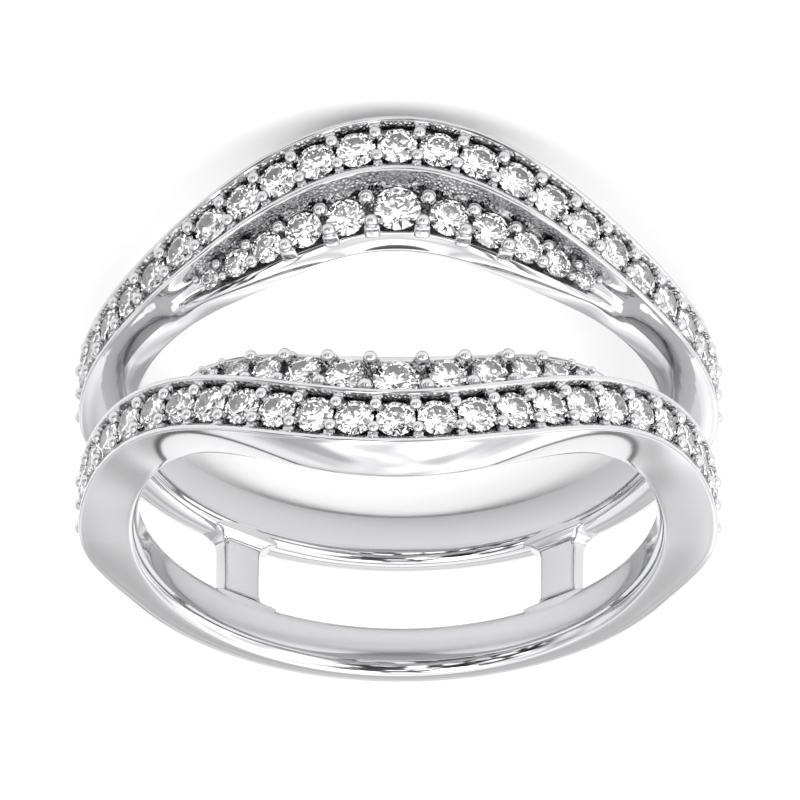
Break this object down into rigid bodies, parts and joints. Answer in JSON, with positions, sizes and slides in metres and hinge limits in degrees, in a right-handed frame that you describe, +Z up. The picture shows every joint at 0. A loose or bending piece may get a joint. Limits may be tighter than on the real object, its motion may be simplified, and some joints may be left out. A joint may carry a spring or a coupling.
{
  "type": "ring guard enhancer",
  "caption": "Ring guard enhancer with two bowed bands of pave stones joined by two bridges, with a gap between them for a plain ring.",
  "frame": {"origin": "middle of the bounding box on the surface that the ring lies on", "axes": "+Z up from the surface, about along the finger hole; -Y towards the stones at the top of the ring; +X across the ring"},
  "size_m": [0.0212, 0.0218, 0.0135],
  "materials": {
    "white_gold": "polished",
    "diamond": "polished"
  },
  "bodies": {
    "root": {"gold_frame": "white_gold", "row_stones_front": "diamond", "row_stones_back": "diamond", "crescent_front_stone_1": "diamond", "crescent_front_stone_2": "diamond", "crescent_front_stone_3": "diamond", "crescent_front_stone_4": "diamond", "crescent_front_stone_5": "diamond", "crescent_front_stone_6": "diamond", "crescent_front_stone_7": "diamond", "crescent_front_stone_8": "diamond", "crescent_front_stone_9": "diamond", "crescent_front_stone_10": "diamond", "crescent_front_stone_11": "diamond", "crescent_back_stone_1": "diamond", "crescent_back_stone_2": "diamond", "crescent_back_stone_3": "diamond", "crescent_back_stone_4": "diamond", "crescent_back_stone_5": "diamond", "crescent_back_stone_6": "diamond", "crescent_back_stone_7": "diamond", "crescent_back_stone_8": "diamond", "crescent_back_stone_9": "diamond", "crescent_back_stone_10": "diamond", "crescent_back_stone_11": "diamond"}
  },
  "joints": []
}
